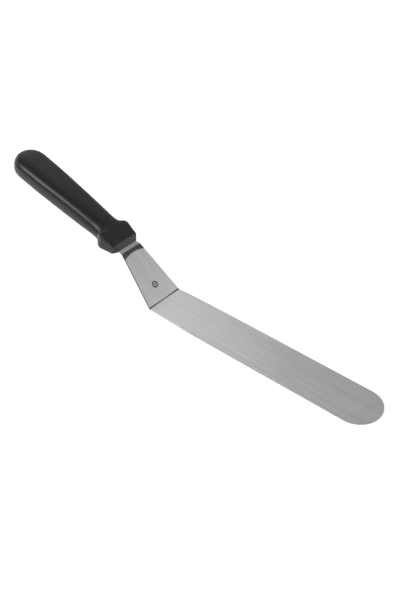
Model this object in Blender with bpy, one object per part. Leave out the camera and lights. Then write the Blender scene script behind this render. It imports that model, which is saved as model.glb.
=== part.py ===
"""Offset palette knife: a folded steel blade with a handle moulded on its tang.

The knife lies as it is put down: the underside of its flat blade is on z = 0, the
round tip is toward +X, and the handle rises toward -X. Its origin is below the
middle of its whole length. Y = 0 is its plane of symmetry.

The blade is laid out as a flat blank, with x = 0 on the heel fold and the tip
toward +X, and is then folded up along two lines. The handle is lofted along its
own axis, from its nose (x = 0) to its butt (-X), and is then tilted and set on
the tang.
"""

import math

import bmesh
import bpy
from mathutils import Vector

MM = 0.001
GAP = 0.3 * MM                      # between the moulding and the steel inside it

# Steel blank
PLATE = 1.4 * MM
BLADE_LENGTH = 208 * MM             # heel fold to tip
BLADE_WIDTH = 38 * MM
HEEL_WIDTH = 35.2 * MM
HEEL_FLARE = 22 * MM                # run over which the heel swells to the blade's width
FLARE_REACH = 4 * HEEL_FLARE        # from the heel to where the swell has died away
OFFSET_LENGTH = 48.3 * MM           # heel fold to upper fold
NECK_LENGTH = 5.0 * MM              # upper fold to the handle's nose
NECK_WIDTH = 19.8 * MM              # plate width where it enters the handle
TANG_WIDTH = 13 * MM
TANG_SHOULDER = 6 * MM              # from the nose to where the tang has narrowed
TANG_LENGTH = 88 * MM               # part of the plate inside the handle
LOCK_HOLE_RADIUS = 3.2 * MM
LOCK_HOLE_PLACES = (24 * MM, 48 * MM, 72 * MM)   # from the nose

# Folds
OFFSET_ANGLE = math.radians(43.0)   # rise of the offset section
HANDLE_ANGLE = math.radians(16.4)   # rise of the tang and the handle
FOLD_RADIUS = 1.7 * MM              # to the plate's mid-surface

# Handle
SLOT_START = 2 * MM                 # the slot is cut from this far ahead of the nose
HANDLE_LENGTH = 130.8 * MM
BUTT_RADIUS = 15.2 * MM             # the butt is a half circle in plan
BUTT_SQUARENESS = 2.9
# One row for each station: distance from the nose, half width, half thickness, and
# the squareness of the section (2 is an ellipse, larger is nearer to a box).
NOSE = (
    (0.0 * MM, 10.7 * MM, 1.5 * MM, 4.0),
    (1.2 * MM, 12.6 * MM, 2.8 * MM, 6.0),
)
STATIONS = (
    (3.5 * MM, 13.7 * MM, 4.6 * MM, 8.0),
    (8.0 * MM, 14.2 * MM, 5.6 * MM, 7.0),
    (12.0 * MM, 15.0 * MM, 6.7 * MM, 6.0),
    (15.5 * MM, 15.7 * MM, 7.5 * MM, 5.0),
    (18.5 * MM, 15.1 * MM, 7.9 * MM, 4.5),
    (22.0 * MM, 12.9 * MM, 8.2 * MM, 3.0),
    (26.0 * MM, 12.1 * MM, 8.5 * MM, 2.5),
    (36.0 * MM, 12.25 * MM, 8.9 * MM, 2.5),
    (60.0 * MM, 13.25 * MM, 9.3 * MM, 2.8),
    (95.0 * MM, 14.85 * MM, 9.35 * MM, 2.9),
    (HANDLE_LENGTH - BUTT_RADIUS, BUTT_RADIUS, 9.25 * MM, BUTT_SQUARENESS),
)
RING_POINTS = 48
STEPS_BETWEEN_STATIONS = 4
BUTT_STEPS = 10

# Fineness of the round outlines
TIP_STEPS = 36
FLARE_STEPS = 8
HOLE_POINTS = 24
FOLD_STEPS = 6
WELD = 0.01 * MM                    # points nearer than this are one point
SLIVER = 0.001 * MM                 # edges shorter than this are dropped
ON_AXIS = 1e-9                      # a sine smaller than this is zero


def collection(name):
    """Make a collection in the scene."""
    made = bpy.data.collections.new(name)
    bpy.context.scene.collection.children.link(made)
    return made


def principled(name, colour, roughness, metallic):
    """Make a plain Principled material."""
    made = bpy.data.materials.new(name)
    made.use_nodes = True
    shader = made.node_tree.nodes["Principled BSDF"]
    shader.inputs["Base Color"].default_value = (*colour, 1.0)
    shader.inputs["Roughness"].default_value = roughness
    shader.inputs["Metallic"].default_value = metallic
    return made


def flat_plate(name, outline, holes, thickness, home):
    """Cut a flat plate, centred on z = 0, from a closed outline with round holes."""
    curve = bpy.data.curves.new(name, "CURVE")
    curve.dimensions = "2D"
    curve.fill_mode = "BOTH"
    curve.extrude = thickness / 2
    for loop in [outline, *holes]:
        spline = curve.splines.new("POLY")
        spline.points.add(len(loop) - 1)
        for point, (x, y) in zip(spline.points, loop):
            point.co = (x, y, 0.0, 1.0)
        spline.use_cyclic_u = True
    drawn = bpy.data.objects.new(name + "_outline", curve)
    home.objects.link(drawn)
    evaluated = drawn.evaluated_get(bpy.context.evaluated_depsgraph_get())
    mesh = bpy.data.meshes.new_from_object(evaluated)
    plate = bpy.data.objects.new(name, mesh)
    plate.matrix_world = drawn.matrix_world
    home.objects.link(plate)
    bpy.data.objects.remove(drawn)
    work = bmesh.new()
    work.from_mesh(mesh)
    bmesh.ops.remove_doubles(work, verts=work.verts, dist=WELD)
    bmesh.ops.dissolve_degenerate(work, edges=work.edges, dist=SLIVER)
    work.to_mesh(mesh)
    work.free()
    return plate


def mirrored(side):
    """Close an outline whose +Y side runs from +X to -X, by its mirror image."""
    other = [(x, -y) for x, y in reversed(side) if y > WELD]
    return side + other


def circle(x, radius):
    """Points round a hole on the centre line."""
    turns = [2 * math.pi * step / HOLE_POINTS for step in range(HOLE_POINTS)]
    return [(x + radius * math.cos(turn), radius * math.sin(turn)) for turn in turns]


def blade_side():
    """The +Y edge of the flat blade, from the tip back to the heel fold."""
    radius = BLADE_WIDTH / 2
    side = []
    for step in range(TIP_STEPS // 2 + 1):
        turn = math.pi / 2 * step / (TIP_STEPS // 2)
        side.append((BLADE_LENGTH - radius + radius * math.cos(turn), radius * math.sin(turn)))
    for step in range(FLARE_STEPS, -1, -1):
        x = FLARE_REACH * (step / FLARE_STEPS) ** 2
        swell = 1 - math.exp(-x / HEEL_FLARE)
        side.append((x, (HEEL_WIDTH + (BLADE_WIDTH - HEEL_WIDTH) * swell) / 2))
    return side


def tang_side(clearance, start):
    """The +Y edge of the plate inside the handle, grown by a clearance."""
    nose = -(OFFSET_LENGTH + NECK_LENGTH)
    radius = TANG_WIDTH / 2 + clearance
    centre = nose - TANG_LENGTH + TANG_WIDTH / 2
    side = [
        (start, NECK_WIDTH / 2 + clearance),
        (nose - TANG_SHOULDER / 2 - clearance, NECK_WIDTH / 2 + clearance),
        (nose - TANG_SHOULDER - clearance, radius),
    ]
    for step in range(HOLE_POINTS // 4 + 1):
        turn = math.pi / 2 * (1 + step / (HOLE_POINTS // 4))
        side.append((centre + radius * math.cos(turn), radius * math.sin(turn)))
    return side


def lock_holes(clearance):
    """The tang's locking holes, shrunk by a clearance."""
    nose = -(OFFSET_LENGTH + NECK_LENGTH)
    return [circle(nose - place, LOCK_HOLE_RADIUS - clearance) for place in LOCK_HOLE_PLACES]


def fold_runs():
    """The plate's run behind the heel: (length of plate, slope gained over it)."""
    heel = FOLD_RADIUS * OFFSET_ANGLE
    upper = FOLD_RADIUS * (OFFSET_ANGLE - HANDLE_ANGLE)
    straight = OFFSET_LENGTH - (heel + upper) / 2
    return (
        (heel, OFFSET_ANGLE),
        (straight, 0.0),
        (upper, HANDLE_ANGLE - OFFSET_ANGLE),
        (NECK_LENGTH + TANG_LENGTH, 0.0),
    )


def fold_start():
    """Where the plate starts to bend, ahead of the heel fold's middle."""
    return FOLD_RADIUS * OFFSET_ANGLE / 2


def folded(x):
    """Carry a point of the blank's mid-surface to its folded x, z and slope."""
    travel = fold_start() - x
    place_x = fold_start()
    place_z = PLATE / 2
    slope = 0.0
    if travel <= 0:
        return x, place_z, slope
    for length, gained in fold_runs():
        run = min(travel, length)
        turn = gained * run / length
        if abs(gained) > 0:
            radius = length / gained
            place_x -= radius * (math.sin(slope + turn) - math.sin(slope))
            place_z -= radius * (math.cos(slope + turn) - math.cos(slope))
        else:
            place_x -= run * math.cos(slope)
            place_z += run * math.sin(slope)
        slope += turn
        travel -= run
        if travel <= 0:
            break
    return place_x, place_z, slope


def fold_lines():
    """The places along the blank where the folded plate changes slope."""
    lines = []
    place = fold_start()
    for length, gained in fold_runs()[:3]:
        steps = FOLD_STEPS if gained else 1
        for step in range(steps):
            lines.append(place - length * step / steps)
        place -= length
    return [*lines, place]


def make_blade(parts, finish):
    """Cut the blank, score it at the folds and fold it."""
    side = blade_side() + tang_side(0.0, -(OFFSET_LENGTH + NECK_LENGTH))
    blade = flat_plate("blade", mirrored(side), lock_holes(0.0), PLATE, parts)
    work = bmesh.new()
    work.from_mesh(blade.data)
    for line in fold_lines():
        everything = work.verts[:] + work.edges[:] + work.faces[:]
        bmesh.ops.bisect_plane(work, geom=everything, dist=SLIVER,
                               plane_co=(line, 0, 0), plane_no=(1, 0, 0))
    for vert in work.verts:
        x, z, slope = folded(vert.co.x)
        height = vert.co.z
        vert.co.x = x + height * math.sin(slope)
        vert.co.z = z + height * math.cos(slope)
    work.to_mesh(blade.data)
    work.free()
    blade.data.materials.append(finish)
    return blade


def rise(index, column):
    """Slope of one column of the station table, from a row to the next."""
    near, far = STATIONS[index], STATIONS[index + 1]
    return (far[column] - near[column]) / (far[0] - near[0])


def slope_at(index, column):
    """Slope of the smooth curve through one column at a row, level where it turns back."""
    if index == 0:
        return rise(0, column)
    if index == len(STATIONS) - 1:
        return 0.0
    before = rise(index - 1, column)
    after = rise(index, column)
    if before * after <= 0:
        return 0.0
    return 2 * before * after / (before + after)


def between(index, part):
    """Half width, half thickness and squareness at a part of the way to the next row."""
    near, far = STATIONS[index], STATIONS[index + 1]
    span = far[0] - near[0]
    values = []
    for column in range(1, len(near)):
        gain = far[column] - near[column]
        leave = slope_at(index, column) * span
        arrive = slope_at(index + 1, column) * span
        values.append(
            near[column]
            + part * leave
            + part ** 2 * (3 * gain - 2 * leave - arrive)
            + part ** 3 * (leave + arrive - 2 * gain)
        )
    return values


def section(place, half_width, half_thickness, squareness, beyond=0.0):
    """One ring of the handle. Beyond runs from 0, where the butt starts, to 1 at its end."""
    ring = []
    for step in range(RING_POINTS):
        turn = 2 * math.pi * step / RING_POINTS
        across = math.copysign(abs(math.cos(turn)) ** (2 / squareness), math.cos(turn))
        reach = math.sqrt(beyond ** 2 + (1 - beyond ** 2) * across ** 2)
        height = max(0.0, 1 - min(1.0, reach) ** squareness) ** (1 / squareness)
        y = half_width * math.sqrt(1 - beyond ** 2) * across
        z = math.copysign(half_thickness * height, math.sin(turn))
        if abs(math.sin(turn)) < ON_AXIS:
            z = 0.0
        ring.append(Vector((-place, y, z)))
    return ring


def handle_rings():
    """All the rings of the handle, from its nose to just before the end of its butt."""
    rings = [section(*row) for row in NOSE]
    for index in range(len(STATIONS) - 1):
        near, far = STATIONS[index], STATIONS[index + 1]
        for step in range(STEPS_BETWEEN_STATIONS):
            part = step / STEPS_BETWEEN_STATIONS
            place = near[0] + (far[0] - near[0]) * part
            rings.append(section(place, *between(index, part)))
    start, *shape = STATIONS[-1]
    for step in range(BUTT_STEPS):
        turn = math.pi / 2 * step / BUTT_STEPS
        rings.append(section(start + BUTT_RADIUS * math.sin(turn), *shape, math.sin(turn)))
    return rings


def make_handle(parts, cutters, finish):
    """Loft the handle, cut the tang's slot in it and set it on the tang."""
    work = bmesh.new()
    rings = [[work.verts.new(point) for point in ring] for ring in handle_rings()]
    for near, far in zip(rings, rings[1:]):
        for step in range(RING_POINTS):
            after = (step + 1) % RING_POINTS
            work.faces.new((near[step], near[after], far[after], far[step]))
    work.faces.new(reversed(rings[0]))
    end = work.verts.new((-HANDLE_LENGTH, 0, 0))
    for step in range(RING_POINTS):
        work.faces.new((rings[-1][step], rings[-1][(step + 1) % RING_POINTS], end))
    bmesh.ops.recalc_face_normals(work, faces=work.faces)
    mesh = bpy.data.meshes.new("handle")
    work.to_mesh(mesh)
    work.free()
    mesh.shade_smooth()
    mesh.set_sharp_from_angle(angle=math.radians(35))
    handle = bpy.data.objects.new("handle", mesh)
    parts.objects.link(handle)
    mesh.materials.append(finish)

    nose = -(OFFSET_LENGTH + NECK_LENGTH)
    side = tang_side(GAP, nose + SLOT_START)
    slot = flat_plate("tang_slot", mirrored(side), lock_holes(GAP), PLATE + 2 * GAP, cutters)
    slot.hide_render = True
    slot.display_type = "WIRE"
    cut = handle.modifiers.new("tang_slot", "BOOLEAN")
    cut.operation = "DIFFERENCE"
    cut.object = slot

    x, z, slope = folded(nose)
    handle.location = (x, 0, z)
    handle.rotation_euler.y = slope
    slot.parent = handle
    slot.location.x = -nose
    return handle


def main():
    """Build the knife and set its origin below the middle of its length."""
    for thing in list(bpy.data.objects):
        bpy.data.objects.remove(thing)
    parts = collection("palette_knife")
    cutters = collection("palette_knife_cutters")
    steel = principled("brushed_stainless_steel", (0.62, 0.62, 0.61), 0.32, 1.0)
    plastic = principled("black_polypropylene", (0.018, 0.018, 0.019), 0.42, 0.0)
    knife = bpy.data.objects.new("palette_knife", None)
    parts.objects.link(knife)
    blade = make_blade(parts, steel)
    handle = make_handle(parts, cutters, plastic)
    blade.parent = knife
    handle.parent = knife
    bpy.context.view_layer.update()
    back = min((handle.matrix_world @ vert.co).x for vert in handle.data.vertices)
    knife.location.x = -(BLADE_LENGTH + back) / 2


main()
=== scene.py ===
"""Offset palette knife: the visual model, laid out as an add-on and run as a script."""

import math

import bmesh
import bpy
from bpy.props import FloatProperty, FloatVectorProperty, IntProperty, PointerProperty
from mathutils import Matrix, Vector


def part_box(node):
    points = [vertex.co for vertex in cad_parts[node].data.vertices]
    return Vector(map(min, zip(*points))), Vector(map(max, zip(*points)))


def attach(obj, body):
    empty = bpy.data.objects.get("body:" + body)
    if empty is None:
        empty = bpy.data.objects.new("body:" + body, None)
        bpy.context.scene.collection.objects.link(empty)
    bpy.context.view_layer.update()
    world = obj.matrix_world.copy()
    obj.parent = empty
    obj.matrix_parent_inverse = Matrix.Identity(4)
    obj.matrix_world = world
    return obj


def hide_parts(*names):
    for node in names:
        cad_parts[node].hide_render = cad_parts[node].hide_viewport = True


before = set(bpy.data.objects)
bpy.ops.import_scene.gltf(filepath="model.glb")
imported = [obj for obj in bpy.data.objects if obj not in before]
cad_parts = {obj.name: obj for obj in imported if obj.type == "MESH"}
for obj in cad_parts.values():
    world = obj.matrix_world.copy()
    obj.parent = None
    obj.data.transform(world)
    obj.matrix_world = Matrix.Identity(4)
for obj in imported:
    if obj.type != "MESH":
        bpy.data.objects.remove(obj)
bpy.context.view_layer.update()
BLADE_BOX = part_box("blade")
TIP_X = BLADE_BOX[1].x

bl_info = {
    "name": "Offset Palette Knife",
    "version": (1, 0, 0),
    "blender": (4, 5, 0),
    "location": "View3D > Sidebar > Palette Knife",
    "description": "Models an offset palette knife with a folded steel blade and a moulded handle",
    "category": "Add Mesh",
}

MM = 0.001
NEAR = 0.01 * MM                    # places nearer than this are one place
ON_AXIS = 1e-9                      # a width or height smaller than this is zero


# ---------------------------------------------------------------- sizes and colours


class BladeSizes(bpy.types.PropertyGroup):
    """Sizes of the steel blade."""

    plate: FloatProperty(
        name="Plate", description="Thickness of the steel", default=1.4 * MM, unit="LENGTH")
    length: FloatProperty(
        name="Length", description="Heel fold to tip", default=208 * MM, unit="LENGTH")
    width: FloatProperty(
        name="Width", description="Widest width", default=BLADE_BOX[1].y - BLADE_BOX[0].y,
        unit="LENGTH")
    heel_width: FloatProperty(
        name="Heel Width", description="Width at the heel fold", default=35.2 * MM,
        unit="LENGTH")
    flare: FloatProperty(
        name="Heel Flare", description="Run over which the heel swells to the full width",
        default=22 * MM, unit="LENGTH")
    offset_length: FloatProperty(
        name="Offset Length", description="Heel fold to upper fold", default=48.3 * MM,
        unit="LENGTH")
    neck_length: FloatProperty(
        name="Neck Length", description="Upper fold to the handle", default=5 * MM,
        unit="LENGTH")
    neck_width: FloatProperty(
        name="Neck Width", description="Width where the plate enters the handle",
        default=19.8 * MM, unit="LENGTH")
    offset_angle: FloatProperty(
        name="Offset Angle", description="Rise of the offset section",
        default=math.radians(43), subtype="ANGLE")
    handle_angle: FloatProperty(
        name="Handle Angle", description="Rise of the tang and the handle",
        default=math.radians(16.4), subtype="ANGLE")
    fold_radius: FloatProperty(
        name="Fold Radius", description="Radius of the folds, to the middle of the plate",
        default=1.7 * MM, unit="LENGTH")
    edge_radius: FloatProperty(
        name="Edge Radius", description="Rounding of the plate's edges", default=0.3 * MM,
        unit="LENGTH")
    tang_width: FloatProperty(
        name="Tang Width", description="Width inside the handle", default=13 * MM,
        unit="LENGTH")
    tang_length: FloatProperty(
        name="Tang Length", description="Length inside the handle", default=88 * MM,
        unit="LENGTH")
    lock_hole_radius: FloatProperty(
        name="Lock Hole Radius", description="Radius of the tang's three holes",
        default=3.2 * MM, unit="LENGTH")
    mark_radius: FloatProperty(
        name="Mark Radius", description="Radius of the stamped ring", default=2.3 * MM,
        unit="LENGTH")
    mark_place: FloatProperty(
        name="Mark Place", description="Upper fold to the stamped ring, down the offset",
        default=34 * MM, unit="LENGTH")


class HandleSizes(bpy.types.PropertyGroup):
    """Sizes of the moulded handle."""

    length: FloatProperty(
        name="Length", description="Nose to butt", default=130.9 * MM, unit="LENGTH")
    butt_radius: FloatProperty(
        name="Butt Radius", description="The butt is a half circle in plan",
        default=15.3 * MM, unit="LENGTH")
    slot_gap: FloatProperty(
        name="Slot Gap", description="Clearance round the tang in its slot",
        default=0.08 * MM, unit="LENGTH")
    smoothness: IntProperty(
        name="Smoothness", description="Subdivision levels of the moulding", default=2)


class Finishes(bpy.types.PropertyGroup):
    """Colours and finishes."""

    steel: FloatVectorProperty(
        name="Steel", description="Colour of the brushed steel", subtype="COLOR",
        default=(0.62, 0.62, 0.615))
    steel_roughness: FloatProperty(
        name="Steel Roughness", description="Roughness of the brushed steel",
        default=0.3, subtype="FACTOR")
    plastic: FloatVectorProperty(
        name="Plastic", description="Colour of the moulded handle", subtype="COLOR",
        default=(0.008, 0.008, 0.0085))
    plastic_roughness: FloatProperty(
        name="Plastic Roughness", description="Roughness of the moulded handle",
        default=0.34, subtype="FACTOR")
    floor: FloatVectorProperty(
        name="Floor", description="Colour of the floor", subtype="COLOR",
        default=(0.55, 0.55, 0.55))


# ---------------------------------------------------------------- places on the knife


def heel_x(blade):
    """Where the heel fold lies."""
    return TIP_X - blade.length


def heel_run(blade):
    """Half the length of plate that the heel fold takes up."""
    return blade.fold_radius * blade.offset_angle / 2


def folded(blade, travel):
    """Place and slope of the plate's mid-surface, a distance behind the heel fold."""
    lower = blade.offset_angle
    upper = blade.offset_angle - blade.handle_angle
    radius = blade.fold_radius
    place = Vector((heel_x(blade) + heel_run(blade), 0, blade.plate / 2))
    straight = blade.offset_length - radius * (lower + upper) / 2
    left = travel + heel_run(blade)
    turn = min(left / radius, lower)
    place += Vector((-radius * math.sin(turn), 0, radius * (1 - math.cos(turn))))
    left -= radius * lower
    if left <= 0:
        return place, turn
    run = min(left, straight)
    place += Vector((-run * math.cos(lower), 0, run * math.sin(lower)))
    left -= straight
    if left <= 0:
        return place, lower
    turn = lower - min(left / radius, upper)
    place += Vector((radius * (math.sin(turn) - math.sin(lower)), 0,
                     radius * (math.cos(turn) - math.cos(lower))))
    left -= radius * upper
    if left <= 0:
        return place, turn
    place += Vector((-left * math.cos(turn), 0, left * math.sin(turn)))
    return place, turn


def nose_place(blade):
    """Where the plate enters the handle, and the handle's rise."""
    return folded(blade, blade.offset_length + blade.neck_length)


def taper(blade):
    """How fast the offset changes its width going up it, below zero as it narrows."""
    return (blade.neck_width - blade.heel_width) / (blade.offset_length + blade.neck_length)


def mark_centre(blade):
    """Centre of the stamped ring, on the upper face of the offset."""
    place, slope = folded(blade, blade.offset_length - blade.mark_place)
    normal = Vector((math.sin(slope), 0, math.cos(slope)))
    return place + normal * blade.plate / 2


# ---------------------------------------------------------------- modelling helpers


def start(name):
    """Name the primitive that was just added, alone in the selection, and edit it."""
    made = bpy.context.object
    made.name = name
    made.data.name = name
    bpy.ops.object.mode_set(mode="EDIT")
    return made


def clear_selection():
    """Deselect every object before a new one is added."""
    bpy.ops.object.select_all(action="DESELECT")


def pick(made, rule):
    """Select just the vertices that a rule holds for, with the edges between them."""
    mesh = bmesh.from_edit_mesh(made.data)
    for vert in mesh.verts:
        vert.select_set(False)
    mesh.select_flush(False)
    for vert in mesh.verts:
        if rule(vert.co):
            vert.select_set(True)
    mesh.select_flush(True)
    bmesh.update_edit_mesh(made.data)


def extrude(step):
    """Extrude the selection along a vector."""
    bpy.ops.mesh.extrude_region_move(TRANSFORM_OT_translate={"value": tuple(step)})


def widen(factor):
    """Scale the selection across the knife."""
    bpy.ops.transform.resize(value=(1, factor, 1), center_override=(0, 0, 0))


def apply_all(made):
    """Apply every modifier of an object."""
    for modifier in list(made.modifiers):
        bpy.ops.object.modifier_apply(modifier=modifier.name)


def focus(made):
    """Make one object the only selected and the active one."""
    clear_selection()
    made.select_set(True)
    bpy.context.view_layer.objects.active = made


def cut(made, cutter, name):
    """Cut one object out of another and remove the cutter."""
    focus(made)
    tool = made.modifiers.new(name, "BOOLEAN")
    tool.operation = "DIFFERENCE"
    tool.solver = "EXACT"
    tool.object = cutter
    bpy.ops.object.modifier_apply(modifier=tool.name)
    bpy.data.objects.remove(cutter)


def settle(made):
    """Put the object's place and turn into its mesh."""
    focus(made)
    bpy.ops.object.transform_apply(location=True, rotation=True, scale=True)


# ---------------------------------------------------------------- shader helpers


class Link:
    """A node's output socket that can stand in an arithmetic expression."""

    def __init__(self, finish, socket):
        self.finish = finish
        self.socket = socket

    def math(self, operation, *values):
        """Add a Math node."""
        return self.finish.math(operation, *values)

    def __add__(self, other):
        return self.math("ADD", self, other)

    def __radd__(self, other):
        return self.math("ADD", other, self)

    def __sub__(self, other):
        return self.math("SUBTRACT", self, other)

    def __rsub__(self, other):
        return self.math("SUBTRACT", other, self)

    def __mul__(self, other):
        return self.math("MULTIPLY", self, other)

    def __rmul__(self, other):
        return self.math("MULTIPLY", other, self)

    def __pow__(self, other):
        return self.math("POWER", self, other)


class Finish:
    """A node material that is built up by expressions."""

    def __init__(self, name):
        self.material = bpy.data.materials.new(name)
        self.material.use_nodes = True
        self.tree = self.material.node_tree
        self.shader = self.tree.nodes["Principled BSDF"]
        self.place = self.node("ShaderNodeTexCoord", {}, output="Object")

    def put(self, value, socket):
        """Set a socket to a number, or link it."""
        if isinstance(value, Link):
            self.tree.links.new(value.socket, socket)
        else:
            socket.default_value = value

    def node(self, kind, settings, *values, output=0, **named):
        """Add a node: its type, its settings, and its sockets in order or by name."""
        made = self.tree.nodes.new(kind)
        for setting, value in settings.items():
            setattr(made, setting, value)
        for socket, value in zip(made.inputs, values):
            self.put(value, socket)
        for name, value in named.items():
            self.put(value, made.inputs[name.replace("_", " ")])
        return Link(self, made.outputs[output])

    def math(self, operation, *values):
        """Add a Math node."""
        return self.node("ShaderNodeMath", {"operation": operation}, *values)

    def local(self, location=(0, 0, 0), rotation=(0, 0, 0), scale=(1, 1, 1)):
        """Object coordinates seen from a place and turn on the knife."""
        return self.node("ShaderNodeMapping", {"vector_type": "TEXTURE"}, self.place,
                         location, rotation, scale)

    def noise(self, vector, scale, detail=2.0, roughness=0.5):
        """Soft noise from 0 to 1."""
        return self.node("ShaderNodeTexNoise", {}, output="Fac", Vector=vector, Scale=scale,
                         Detail=detail, Roughness=roughness)

    def step(self, value, low, high, bottom=0.0, top=1.0):
        """A soft step from one level to another as a value rises from low to high."""
        return self.node("ShaderNodeMapRange", {"interpolation_type": "SMOOTHSTEP"}, value,
                         low, high, bottom, top)

    def along(self, vector, axis):
        """One coordinate of a vector."""
        return self.node("ShaderNodeSeparateXYZ", {}, vector, output=axis)

    def mix(self, factor, first, second):
        """Mix two colours."""
        made = self.tree.nodes.new("ShaderNodeMix")
        made.data_type = "RGBA"
        self.put(factor, made.inputs[0])
        self.put(first, made.inputs[6])
        self.put(second, made.inputs[7])
        return Link(self, made.outputs[2])

    def tint(self, colour, mask, strength, level):
        """Mix a neutral grey into a colour, this strongly, where a mask says."""
        return self.mix(mask * strength, colour, grey(level))

    def bump(self, height, strength, depth, normal=None):
        """A bump over the surface from a height of 0 to 1, this deep in metres."""
        named = {"Height": height, "Strength": strength, "Distance": depth}
        if normal:
            named["Normal"] = normal
        return self.node("ShaderNodeBump", {}, output="Normal", **named)

    def finished(self, **sockets):
        """Set the shader's sockets and give the material."""
        for name, value in sockets.items():
            self.put(value, self.shader.inputs[name.replace("_", " ")])
        return self.material


def grey(level):
    """A neutral colour."""
    return (level, level, level, 1)


def shade(colour, factor):
    """A colour made lighter or darker, and opaque."""
    return (*(min(1, channel * factor) for channel in colour), 1)


# ---------------------------------------------------------------- finishes


# Where each mark on the steel starts to show and where it is full, along its own measure.
STREAK_LEVELS = (0.3, 0.7)                # of the noise, from dark to light streaks
# the band's reach below sets where a dark reflection is painted on the upper face
BAND_TOP = (-1.3 * MM, -0.7 * MM)         # down the offset, from the upper fold
BAND_FOOT = (-0.7 * MM, 0.8 * MM)         # past the band's own depth
UPPER_FACE = (-0.4 * MM, 0.0)             # out of the plate, from its middle
# the next reach belongs to the painted shade in the heel fold's crease
CREASE_SHADE_LINE = (0.2 * MM, 0.6 * MM)          # either way from the heel fold
# the next two reach and fade belong to the painted shade along the -Y edge of the offset
EDGE_SHADE_REACH = (-0.5 * MM, -0.1 * MM)     # out from the plate's edge
EDGE_SHADE_FADE = 1 * MM                       # above the heel, where the edge fades out
TANG_EDGE = (-1.0 * MM, -0.2 * MM)        # down the offset, from the upper fold
RIM = (-0.45 * MM, -0.2 * MM)             # out from the flat blade's edge
RING_INSIDE = (1.5 * MM, 1.8 * MM)        # from the mark's centre
RING_OUTSIDE = (2.8 * MM, 3.1 * MM)
DOT_OUTSIDE = (0.7 * MM, 1.0 * MM)
STAMPED_FACE = (-0.6 * MM, -0.2 * MM)     # out of the plate, from its upper face
BAND_DEPTH = 2.4 * MM                     # at the middle of the plate
BAND_ARCH = 17                            # how the band deepens to its sides, per metre
CREASE_SHADE_SPREAD = 0.02                        # how the painted crease shade widens to its sides
DARK_STREAK = 0.84                        # of the steel's colour
LIGHT_STREAK = 1.12
FINE_BRUSHING = (50 * MM, 0.8 * MM, 50 * MM)     # size of a streak along X, Y and Z
BROAD_BRUSHING = (120 * MM, 3 * MM, 120 * MM)
BRUSHED_DEPTH = 0.02 * MM
# How strongly each mark tints the steel, and the grey level that it tints it with.
TANG_TINT = (0.35, 0.25)
# painted shade along the -Y edge of the offset
EDGE_SHADE_TINT = (0.85, 0.13)
# painted shade in the heel fold's crease
CREASE_SHADE_TINT = (0.85, 0.05)
# grey of the painted dark reflection in the band below the upper fold
REFLECTION_GREY = 0.035
RIM_TINT = (0.6, 0.3)
STAMP_TINT = (0.92, 0.05)


def steel_streaks(steel, fine, broad, cloud):
    """Light and dark brushing along the plate, from 0 to 1."""
    return (
        steel.step(broad, *STREAK_LEVELS) * 0.35
        + steel.step(fine, *STREAK_LEVELS) * 0.45
        + steel.step(cloud, *STREAK_LEVELS) * 0.2
    )


def painted_reflection_band(steel, down, across, above):
    """The arched band on the upper face, just below the upper fold, where a dark reflection is
    painted.
    """
    foot = down - (BAND_DEPTH + BAND_ARCH * across ** 2)
    return (
        steel.step(down, *BAND_TOP)
        * (1 - steel.step(foot, *BAND_FOOT))
        * steel.step(above, *UPPER_FACE)
    )


def heel_crease_shade(steel, blade, across):
    """Painted shade: a thin dark line in the crease of the heel fold."""
    heel, _ = folded(blade, 0)
    crease = steel.local(tuple(heel), (0, blade.offset_angle / 2, 0))
    from_crease = steel.math("ABSOLUTE", steel.along(crease, "X"))
    side = steel.math("ABSOLUTE", across)
    return 1 - steel.step(from_crease - side * CREASE_SHADE_SPREAD, *CREASE_SHADE_LINE)


def painted_edge_shade(steel, blade, down, across):
    """Painted shade along the -Y edge of the offset, from 0 to 1."""
    half = blade.neck_width / 2 - taper(blade) / 2 * (down + blade.neck_length)
    heel = blade.offset_length
    return steel.step(-1 * across - half, *EDGE_SHADE_REACH) * (
        1 - steel.step(down, heel - EDGE_SHADE_FADE, heel))


def tip_rim(steel, blade):
    """The dull rim along the flat blade's sides and round its tip."""
    centre = steel.local((TIP_X - blade.width / 2, 0, 0))
    past_centre = steel.math("MAXIMUM", steel.along(centre, "X"), 0.0)
    reach = steel.math("SQRT", past_centre ** 2 + steel.along(centre, "Y") ** 2)
    return steel.step(reach - blade.width / 2, *RIM)


def stamped_mark(steel, blade):
    """The darkened floor of the stamped ring and dot."""
    mark = steel.local(tuple(mark_centre(blade)), (0, blade.offset_angle, 0))
    flat = steel.node("ShaderNodeVectorMath", {"operation": "MULTIPLY"}, mark, (1, 1, 0))
    radius = steel.node("ShaderNodeVectorMath", {"operation": "LENGTH"}, flat, output="Value")
    ring = steel.step(radius, *RING_INSIDE) * (1 - steel.step(radius, *RING_OUTSIDE))
    dot = 1 - steel.step(radius, *DOT_OUTSIDE)
    return (ring + dot) * steel.step(steel.along(mark, "Z"), *STAMPED_FACE)


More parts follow.
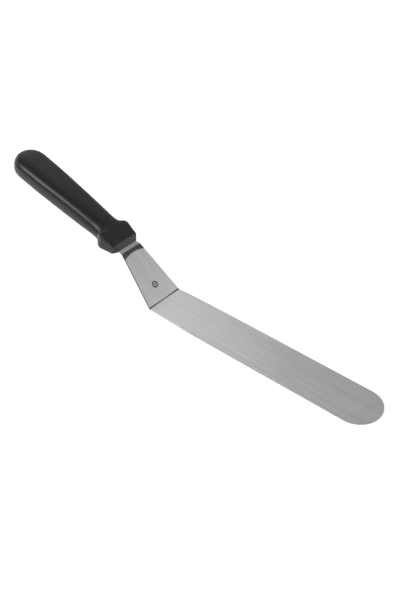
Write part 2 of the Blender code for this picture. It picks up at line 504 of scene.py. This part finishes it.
def brushed_steel(blade, finishes):
    """Steel brushed along the plate, with its stamped ring, painted shade along one edge and in
    the heel fold, and a painted dark reflection in a rougher band at the upper fold.
    """
    steel = Finish("brushed_steel")
    fine = steel.noise(steel.local(scale=FINE_BRUSHING), 1.0, 4.0, 0.65)
    broad = steel.noise(steel.local(scale=BROAD_BRUSHING), 1.0, 3.0)
    cloud = steel.noise(steel.place, 22.0, 3.0)

    fold, _ = folded(blade, blade.offset_length)
    offset = steel.local(tuple(fold), (0, blade.offset_angle, 0))
    down = steel.along(offset, "X")
    across = steel.along(offset, "Y")
    band = painted_reflection_band(steel, down, across, steel.along(offset, "Z"))
    rim = tip_rim(steel, blade)
    stamped = stamped_mark(steel, blade)
    tang = 1 - steel.step(down, *TANG_EDGE)

    colour = steel.mix(steel_streaks(steel, fine, broad, cloud),
                       shade(finishes.steel, DARK_STREAK), shade(finishes.steel, LIGHT_STREAK))
    colour = steel.tint(colour, tang, *TANG_TINT)
    # painted shade along the -Y edge of the offset
    colour = steel.tint(colour, painted_edge_shade(steel, blade, down, across), *EDGE_SHADE_TINT)
    # painted shade in the crease of the heel fold
    colour = steel.tint(colour, heel_crease_shade(steel, blade, across), *CREASE_SHADE_TINT)
    # painted dark reflection in the band below the upper fold; the band is also made rougher
    colour = steel.tint(colour, band, 0.9 + 0.5 * (fine - 0.5), REFLECTION_GREY)
    colour = steel.tint(colour, rim, *RIM_TINT)
    colour = steel.tint(colour, stamped, *STAMP_TINT)
    roughness = (
        finishes.steel_roughness
        + 0.08 * (fine - 0.5)
        + 0.06 * (cloud - 0.5)
        + 0.18 * stamped
        + 0.12 * band
        + 0.2 * rim
    )
    normal = steel.bump(fine, 0.15, BRUSHED_DEPTH)
    return steel.finished(Base_Color=colour, Roughness=roughness, Metallic=1.0, Normal=normal)


COLLAR_END = (14.5 * MM, 17.5 * MM)       # behind the nose, where the coarse grain fades out
WORN_LEVELS = (0.62, 0.72)                # of the scuffing noise
SPECKLE_LEVELS = (0.5, 0.68)              # of the coarse noise
GRAIN_DEPTH = 0.03 * MM
COARSE_DEPTH = 0.25 * MM
GRAIN_FINENESS = 2600.0                   # how often each noise repeats, per metre
COARSE_FINENESS = 900.0
CLOUD_FINENESS = 30.0
SCUFF_FINENESS = 60.0
SCUFF_STRETCH = (3.0, 0.2, 0.2)           # long down the handle, short round it
# How strongly each mark tints the plastic, and the grey level that it tints it with.
CLOUD_TINT = (0.5, 0.013)
WORN_TINT = (0.3, 0.025)
SPECKLE_TINT = (0.6, 0.05)
PLASTIC_GLOSS = 0.4


def moulded_plastic(blade, finishes):
    """Black polypropylene, satin on the grip and coarsely grained round the collar."""
    plastic = Finish("black_polypropylene")
    nose, slope = nose_place(blade)
    behind = plastic.along(plastic.local(tuple(nose), (0, slope, 0)), "X") * -1
    collar = 1 - plastic.step(behind, *COLLAR_END)
    grain = plastic.noise(plastic.place, GRAIN_FINENESS, 2.0)
    coarse = plastic.noise(plastic.place, COARSE_FINENESS, 3.0, 0.6)
    cloud = plastic.noise(plastic.place, CLOUD_FINENESS, 3.0)
    scuff = plastic.noise(plastic.local(scale=SCUFF_STRETCH), SCUFF_FINENESS, 4.0, 0.6)
    worn = plastic.step(scuff, *WORN_LEVELS)
    speckle = plastic.step(coarse, *SPECKLE_LEVELS) * collar

    colour = plastic.tint(shade(finishes.plastic, 1), cloud, *CLOUD_TINT)
    colour = plastic.tint(colour, worn, *WORN_TINT)
    colour = plastic.tint(colour, speckle, *SPECKLE_TINT)
    roughness = (
        finishes.plastic_roughness
        + 0.08 * (cloud - 0.5)
        + 0.06 * (grain - 0.5)
        + 0.06 * worn
        + 0.06 * collar
    )
    normal = plastic.bump(grain, 0.07, GRAIN_DEPTH)
    normal = plastic.bump(coarse * collar, 1.0, COARSE_DEPTH, normal)
    return plastic.finished(Base_Color=colour, Roughness=roughness, Normal=normal,
                            Specular_IOR_Level=PLASTIC_GLOSS)


# ---------------------------------------------------------------- blade


EDGE_STEPS = 3
EDGE_ANGLE = math.radians(50)       # edges sharper than this are rounded
TIP_STEPS = 96                      # sides of the full circle that the tip is half of
FLARE_STEPS = 8
FLARE_REACH = 4                     # in flares: where the swell has died away
FOLD_STEPS = 8
TANG_START = 3 * MM                 # from the nose, still at the neck's width
TANG_SHOULDER = 6 * MM              # from the nose, at the tang's own width
TANG_END_STEPS = 10
TANG_END_ROUNDING = 0.98            # of half its width, so that the corners don't meet
LOCK_HOLE_PLACES = (24 * MM, 48 * MM, 72 * MM)   # from the nose
LOCK_HOLE_SIDES = 32
GROOVE_RADIUS = 0.35 * MM           # of the stamped ring's section
DOT_RADIUS = 0.8 * MM
DOT_FLATNESS = 0.35
BLADE_SMOOTH_ANGLE = math.radians(35)


class PALETTEKNIFE_OT_blade(bpy.types.Operator):
    """Model the folded blade with its tang, and stamp its mark"""

    bl_idname = "palette_knife.blade"
    bl_label = "Blade"

    def execute(self, context):
        blade = context.scene.blade_sizes
        clear_selection()
        radius = blade.width / 2
        tip_centre = TIP_X - radius
        middle = blade.plate / 2
        bpy.ops.mesh.primitive_circle_add(
            vertices=TIP_STEPS, radius=radius, fill_type="NGON",
            location=(tip_centre, 0, middle))
        settle(bpy.context.object)
        made = start("knife_blade")
        bpy.ops.mesh.select_all(action="SELECT")
        bpy.ops.mesh.bisect(plane_co=(tip_centre, 0, 0), plane_no=(1, 0, 0), clear_inner=True)
        self.flat(made, blade, tip_centre)
        self.fold(blade)
        bpy.ops.object.mode_set(mode="OBJECT")
        self.thicken(made, blade)
        self.drill(made, blade)
        self.stamp(made, blade)
        bpy.ops.object.shade_smooth_by_angle(angle=BLADE_SMOOTH_ANGLE)
        flat = made.modifiers.new("flat", "WEIGHTED_NORMAL")
        flat.keep_sharp = True
        apply_all(made)
        made.data.materials.append(brushed_steel(blade, context.scene.finishes))
        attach(made, "root")
        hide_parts("blade")
        return {"FINISHED"}

    def flat(self, made, blade, place):
        """Draw the flat blade back to the heel, narrowing where the heel flares."""
        pick(made, lambda co: abs(co.x - place) < NEAR)
        heel = heel_x(blade)
        width = blade.width
        for step in range(FLARE_STEPS, -1, -1):
            run = FLARE_REACH * blade.flare * (step / FLARE_STEPS) ** 2
            if step == 0:
                run = heel_run(blade)
            swell = 1 - math.exp(-run / blade.flare)
            new_width = blade.heel_width + (blade.width - blade.heel_width) * swell
            extrude((heel + run - place, 0, 0))
            widen(new_width / width)
            place = heel + run
            width = new_width
        self.width = width
        self.place = Vector((place, 0, blade.plate / 2))

    def fold(self, blade):
        """Fold the plate up at the heel, taper the offset, and fold it again for the tang."""
        lower = heel_run(blade)
        upper = blade.fold_radius * (blade.offset_angle - blade.handle_angle) / 2
        nose = blade.offset_length + blade.neck_length
        stops = [-lower + 2 * lower * (step + 1) / FOLD_STEPS for step in range(FOLD_STEPS)]
        stops += [blade.offset_length - upper + 2 * upper * step / FOLD_STEPS
                  for step in range(FOLD_STEPS + 1)]
        stops += [nose, nose + TANG_START]
        for travel in stops:
            self.run_to(blade, travel, blade.heel_width + taper(blade) * min(travel, nose))
        self.run_to(blade, nose + TANG_SHOULDER, blade.tang_width)
        self.run_to(blade, nose + blade.tang_length, blade.tang_width)
        bpy.ops.mesh.bevel(offset=blade.tang_width / 2 * TANG_END_ROUNDING,
                           segments=TANG_END_STEPS, affect="VERTICES")

    def run_to(self, blade, travel, width):
        """Extrude the open end of the plate to a place behind the heel fold."""
        place, _ = folded(blade, travel)
        extrude(place - self.place)
        widen(width / self.width)
        self.place = place
        self.width = width

    def thicken(self, made, blade):
        """Give the plate its thickness and round its edges."""
        focus(made)
        solid = made.modifiers.new("plate", "SOLIDIFY")
        solid.thickness = blade.plate
        solid.offset = 0
        solid.use_even_offset = True
        edge = made.modifiers.new("edge", "BEVEL")
        edge.width = blade.edge_radius
        edge.segments = EDGE_STEPS
        edge.limit_method = "ANGLE"
        edge.angle_limit = EDGE_ANGLE
        apply_all(made)

    def drill(self, made, blade):
        """Drill the tang's locking holes, which the handle hides."""
        for place in LOCK_HOLE_PLACES:
            centre, slope = folded(blade, blade.offset_length + blade.neck_length + place)
            clear_selection()
            bpy.ops.mesh.primitive_cylinder_add(
                vertices=LOCK_HOLE_SIDES, radius=blade.lock_hole_radius,
                depth=4 * blade.plate, location=centre, rotation=(0, slope, 0))
            cut(made, bpy.context.object, "lock_hole")

    def stamp(self, made, blade):
        """Press a plain ring and a dot into the offset."""
        centre = mark_centre(blade)
        turn = (0, blade.offset_angle, 0)
        clear_selection()
        bpy.ops.mesh.primitive_torus_add(
            major_radius=blade.mark_radius, minor_radius=GROOVE_RADIUS, major_segments=64,
            minor_segments=12, location=centre, rotation=turn)
        cut(made, bpy.context.object, "ring")
        clear_selection()
        bpy.ops.mesh.primitive_uv_sphere_add(
            segments=24, ring_count=12, radius=DOT_RADIUS, location=centre)
        dot = bpy.context.object
        dot.rotation_euler = turn
        dot.scale = (1, 1, DOT_FLATNESS)
        cut(made, dot, "dot")


# ---------------------------------------------------------------- handle


RING = 32                           # points round each section
# The moulding from its nose to its grip, in millimetres: distance from the nose, half
# width, half thickness, and the section's squareness (2 is an ellipse, larger is boxier).
SECTIONS = (
    (0.0, 10.7, 1.5, 7.0),
    (3.5, 13.75, 4.65, 8.0),
    (4.3, 13.85, 4.9, 8.0),
    (8.0, 14.3, 5.7, 8.0),
    (12.0, 15.1, 6.75, 7.0),
    (15.5, 15.9, 7.65, 6.0),
    (18.3, 15.4, 8.0, 4.8),
    (20.3, 13.9, 8.1, 3.1),
    (22.5, 12.75, 8.4, 2.4),
    (26.0, 12.2, 8.65, 2.25),
    (31.0, 12.2, 8.85, 2.25),
    (38.0, 12.45, 9.1, 2.4),
    (48.0, 12.85, 9.3, 2.6),
    (60.0, 13.35, 9.4, 2.75),
    (78.0, 14.15, 9.5, 2.85),
    (95.0, 15.0, 9.45, 2.85),
)
BUTT_HALF_THICKNESS = 9.3 * MM
BUTT_SQUARENESS = 2.85
BUTT_END_SQUARENESS = 2.1
BUTT_TURNS = (0, 18, 34, 48, 60, 70, 79)   # in degrees, closer towards the end
ON_RIM = 0.97                       # a section's own outline is at 1
NOSE_LIP = 0.25 * MM                # from the nose's rim to the ring inside it
NOSE_CREASE = 1.0
LIP_CREASE = 0.9
HANDLE_SMOOTH_ANGLE = math.radians(20)
SLOT_MOUTH = 6 * MM                 # from the nose to where the slot narrows
SLOT_AHEAD = 2 * MM                 # the slot is cut from this far ahead of the nose


def handle_sections(handle):
    """Every section of the handle, in metres, from the nose to near the butt's end."""
    rows = [(s * MM, a * MM, b * MM, n) for s, a, b, n in SECTIONS]
    start_of_butt = handle.length - handle.butt_radius
    for degrees in BUTT_TURNS:
        turn = math.radians(degrees)
        beyond = math.sin(turn)
        squareness = (BUTT_END_SQUARENESS
                      + (BUTT_SQUARENESS - BUTT_END_SQUARENESS) * math.cos(turn))
        height = (1 - beyond ** BUTT_SQUARENESS) ** (1 / BUTT_SQUARENESS)
        rows.append((start_of_butt + handle.butt_radius * beyond,
                     handle.butt_radius * math.cos(turn), BUTT_HALF_THICKNESS * height,
                     squareness))
    return rows


def on_section(row, quarter_step):
    """Width and height of one of a section's points, counted over a quarter turn."""
    _, half_width, half_thickness, squareness = row
    turn = math.pi / 2 * quarter_step / (RING // 4)
    return (half_width * max(0, math.cos(turn)) ** (2 / squareness),
            half_thickness * max(0, math.sin(turn)) ** (2 / squareness))


class PALETTEKNIFE_OT_handle(bpy.types.Operator):
    """Model the moulded handle and cut the slot that its tang fills"""

    bl_idname = "palette_knife.handle"
    bl_label = "Handle"

    def execute(self, context):
        blade = context.scene.blade_sizes
        handle = context.scene.handle_sizes
        rows = handle_sections(handle)
        clear_selection()
        bpy.ops.mesh.primitive_circle_add(
            vertices=RING, radius=1 * MM, fill_type="NOTHING",
            rotation=(math.pi / 2, 0, math.pi / 2))
        settle(bpy.context.object)
        made = start("knife_handle")
        bpy.ops.mesh.select_all(action="SELECT")
        unit = (0.0, 1 * MM, 1 * MM, 2.0)
        self.reshape(made, unit, rows[0])
        bpy.ops.mesh.edge_face_add()
        bpy.ops.mesh.inset(thickness=NOSE_LIP)
        pick(made, lambda co: self.rim(co, rows[0]))
        bpy.ops.transform.edge_crease(value=NOSE_CREASE)
        for row, following in zip(rows, rows[1:]):
            extrude((row[0] - following[0], 0, 0))
            self.reshape(made, row, following)
            if row is rows[0]:
                bpy.ops.transform.edge_crease(value=LIP_CREASE)
        extrude((rows[-1][0] - handle.length, 0, 0))
        bpy.ops.mesh.merge(type="CENTER")
        bpy.ops.mesh.select_all(action="SELECT")
        bpy.ops.mesh.normals_make_consistent(inside=False)
        bpy.ops.object.mode_set(mode="OBJECT")
        smooth = made.modifiers.new("smooth", "SUBSURF")
        smooth.levels = handle.smoothness
        smooth.render_levels = handle.smoothness
        apply_all(made)
        place, slope = nose_place(blade)
        made.location = place
        made.rotation_euler.y = slope
        settle(made)
        self.slot(made, blade, handle)
        bpy.ops.object.shade_smooth_by_angle(angle=HANDLE_SMOOTH_ANGLE)
        made.data.materials.append(moulded_plastic(blade, context.scene.finishes))
        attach(made, "root")
        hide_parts("handle")
        return {"FINISHED"}

    def rim(self, co, row):
        """Whether a point is on the outside of a section."""
        across = (abs(co.y) / row[1]) ** row[3]
        up = (abs(co.z) / row[2]) ** row[3]
        return across + up > ON_RIM

    def reshape(self, made, old, new):
        """Resize the selected ring from one section to the next, point by point."""
        mesh = bmesh.from_edit_mesh(made.data)
        chosen = {}
        for vert in mesh.verts:
            if vert.select:
                width = (abs(vert.co.y) / old[1]) ** (old[3] / 2)
                height = (abs(vert.co.z) / old[2]) ** (old[3] / 2)
                step = round(math.atan2(height, width) / (math.pi / 2) * (RING // 4))
                chosen.setdefault(step, set()).add(vert.index)
        for step, members in chosen.items():
            self.take(made, members, False)
            sizes = zip(on_section(new, step), on_section(old, step))
            factors = [now / was if was > ON_AXIS else 1 for now, was in sizes]
            bpy.ops.transform.resize(value=(1, *factors), center_override=(0, 0, 0))
        self.take(made, set().union(*chosen.values()), True)

    def take(self, made, members, with_edges):
        """Select just the vertices with these indices."""
        mesh = bmesh.from_edit_mesh(made.data)
        for vert in mesh.verts:
            vert.select_set(vert.index in members)
        mesh.select_flush(with_edges)
        bmesh.update_edit_mesh(made.data)

    def slot(self, made, blade, handle):
        """Cut the slot for the tang, wide at its mouth and narrow behind."""
        gap = handle.slot_gap
        place, slope = nose_place(blade)
        inward = Vector((-math.cos(slope), 0, math.sin(slope)))
        for depth, width in ((SLOT_MOUTH, blade.neck_width),
                             (blade.tang_length, blade.tang_width)):
            clear_selection()
            bpy.ops.mesh.primitive_cube_add(
                size=1, location=place + inward * (depth - SLOT_AHEAD) / 2,
                rotation=(0, slope, 0),
                scale=(depth + SLOT_AHEAD + 2 * gap, width + 2 * gap, blade.plate + 2 * gap))
            cut(made, bpy.context.object, "slot")


# ---------------------------------------------------------------- stage


FLOOR_SIZE = 60.0
FLOOR_DROP = 0.2 * MM               # below the blade, so that the two faces don't meet
FLOOR_ROUGHNESS = 0.9
FLOOR_GLOSS = 0.1
FLOOR_GLOW = 0.8
GLOW_FADE = (1.0, 2.6)              # from the floor's middle, in metres
GLOW_LEVELS = (1.0, 0.15)           # near and far
WORLD_STRENGTH = 0.35
# Each light box: its name, its width and height in metres, its power in watts, its
# azimuth and elevation in degrees, and its distance in metres.
LIGHT_BOXES = (
    ("key_light", 0.5, 0.65, 8.5, -29, 42, 1.5),
    ("side_light", 0.9, 0.5, 2.6, -88, 14, 1.6),
    ("back_light", 1.6, 1.5, 1.1, -152, 42, 1.7),
    ("left_light", 1.0, 1.4, 2.0, -124, 38, 1.7),
    ("right_light", 1.4, 1.0, 1.3, 125, 38, 1.6),
    ("low_light", 0.9, 0.45, 5.5, 127, 13, 1.6),
)
LIGHT_TARGET = (0, 0, 0.02)
LENS = 59.9
SENSOR_WIDTH = 36
CAMERA_AZIMUTH = 40.9
CAMERA_ELEVATION = 38.4
CAMERA_DISTANCE = 0.818
CAMERA_TARGET = (0.0017, 0.0191, -0.0005)


class PALETTEKNIFE_OT_stage(bpy.types.Operator):
    """Set the floor, the lights and the camera"""

    bl_idname = "palette_knife.stage"
    bl_label = "Stage"

    def execute(self, context):
        self.floor(context.scene.finishes)
        self.world(context)
        for box in LIGHT_BOXES:
            self.softbox(*box)
        self.camera(context)
        context.scene.view_settings.view_transform = "Standard"
        return {"FINISHED"}

    def floor(self, finishes):
        """Lay a wide pale floor that glows a little near the knife."""
        clear_selection()
        bpy.ops.mesh.primitive_plane_add(size=FLOOR_SIZE, location=(0, 0, -FLOOR_DROP))
        floor = bpy.context.object
        floor.name = "floor"
        settle(floor)
        paint = Finish("floor_paint")
        reach = paint.node("ShaderNodeVectorMath", {"operation": "LENGTH"}, paint.place,
                           output="Value")
        near, far = GLOW_LEVELS
        glow = paint.mix(paint.step(reach, *GLOW_FADE), grey(near), grey(far))
        floor.data.materials.append(paint.finished(
            Base_Color=shade(finishes.floor, 1), Roughness=FLOOR_ROUGHNESS,
            Specular_IOR_Level=FLOOR_GLOSS, Emission_Color=glow,
            Emission_Strength=FLOOR_GLOW))

    def world(self, context):
        """Surround the stage with even white light."""
        world = bpy.data.worlds.new("studio")
        context.scene.world = world
        world.use_nodes = True
        background = world.node_tree.nodes["Background"]
        background.inputs["Color"].default_value = grey(1)
        background.inputs["Strength"].default_value = WORLD_STRENGTH

    def aim(self, thing, azimuth, elevation, distance, target):
        """Place a light or camera round a target; azimuth turns from -Y towards +X."""
        turn = math.radians(azimuth)
        lift = math.radians(elevation)
        back = Vector((math.sin(turn) * math.cos(lift), -math.cos(turn) * math.cos(lift),
                       math.sin(lift)))
        thing.location = Vector(target) + back * distance
        thing.rotation_euler = back.to_track_quat("Z", "Y").to_euler()

    def softbox(self, name, width, height, power, azimuth, elevation, distance):
        """Add a rectangular area light."""
        bpy.ops.object.light_add(type="AREA")
        lamp = bpy.context.object
        lamp.name = name
        lamp.data.shape = "RECTANGLE"
        lamp.data.size = width
        lamp.data.size_y = height
        lamp.data.energy = power
        self.aim(lamp, azimuth, elevation, distance, LIGHT_TARGET)

    def camera(self, context):
        """Add the camera."""
        bpy.ops.object.camera_add()
        camera = bpy.context.object
        camera.data.sensor_width = SENSOR_WIDTH
        camera.data.lens = LENS
        self.aim(camera, CAMERA_AZIMUTH, CAMERA_ELEVATION, CAMERA_DISTANCE, CAMERA_TARGET)
        context.scene.camera = camera


# ---------------------------------------------------------------- panel and run


class PALETTEKNIFE_PT_panel(bpy.types.Panel):
    """Lists the knife's pieces and sizes"""

    bl_label = "Palette Knife"
    bl_space_type = "VIEW_3D"
    bl_region_type = "UI"
    bl_category = "Palette Knife"

    def draw(self, context):
        layout = self.layout
        for operator in OPERATORS:
            layout.operator(operator.bl_idname)
        for group in (context.scene.blade_sizes, context.scene.handle_sizes,
                      context.scene.finishes):
            box = layout.box()
            for name in group.bl_rna.properties.keys():
                if name not in ("rna_type", "name"):
                    box.prop(group, name)


OPERATORS = (PALETTEKNIFE_OT_blade, PALETTEKNIFE_OT_handle, PALETTEKNIFE_OT_stage)
CLASSES = (BladeSizes, HandleSizes, Finishes, *OPERATORS, PALETTEKNIFE_PT_panel)


def register():
    for cls in CLASSES:
        bpy.utils.register_class(cls)
    bpy.types.Scene.blade_sizes = PointerProperty(type=BladeSizes)
    bpy.types.Scene.handle_sizes = PointerProperty(type=HandleSizes)
    bpy.types.Scene.finishes = PointerProperty(type=Finishes)


def unregister():
    del bpy.types.Scene.finishes
    del bpy.types.Scene.handle_sizes
    del bpy.types.Scene.blade_sizes
    for cls in reversed(CLASSES):
        bpy.utils.unregister_class(cls)


def main():
    """Register the add-on, and build the knife and its stage."""
    register()
    bpy.ops.palette_knife.blade()
    bpy.ops.palette_knife.handle()
    bpy.ops.palette_knife.stage()


if __name__ == "__main__":
    main()
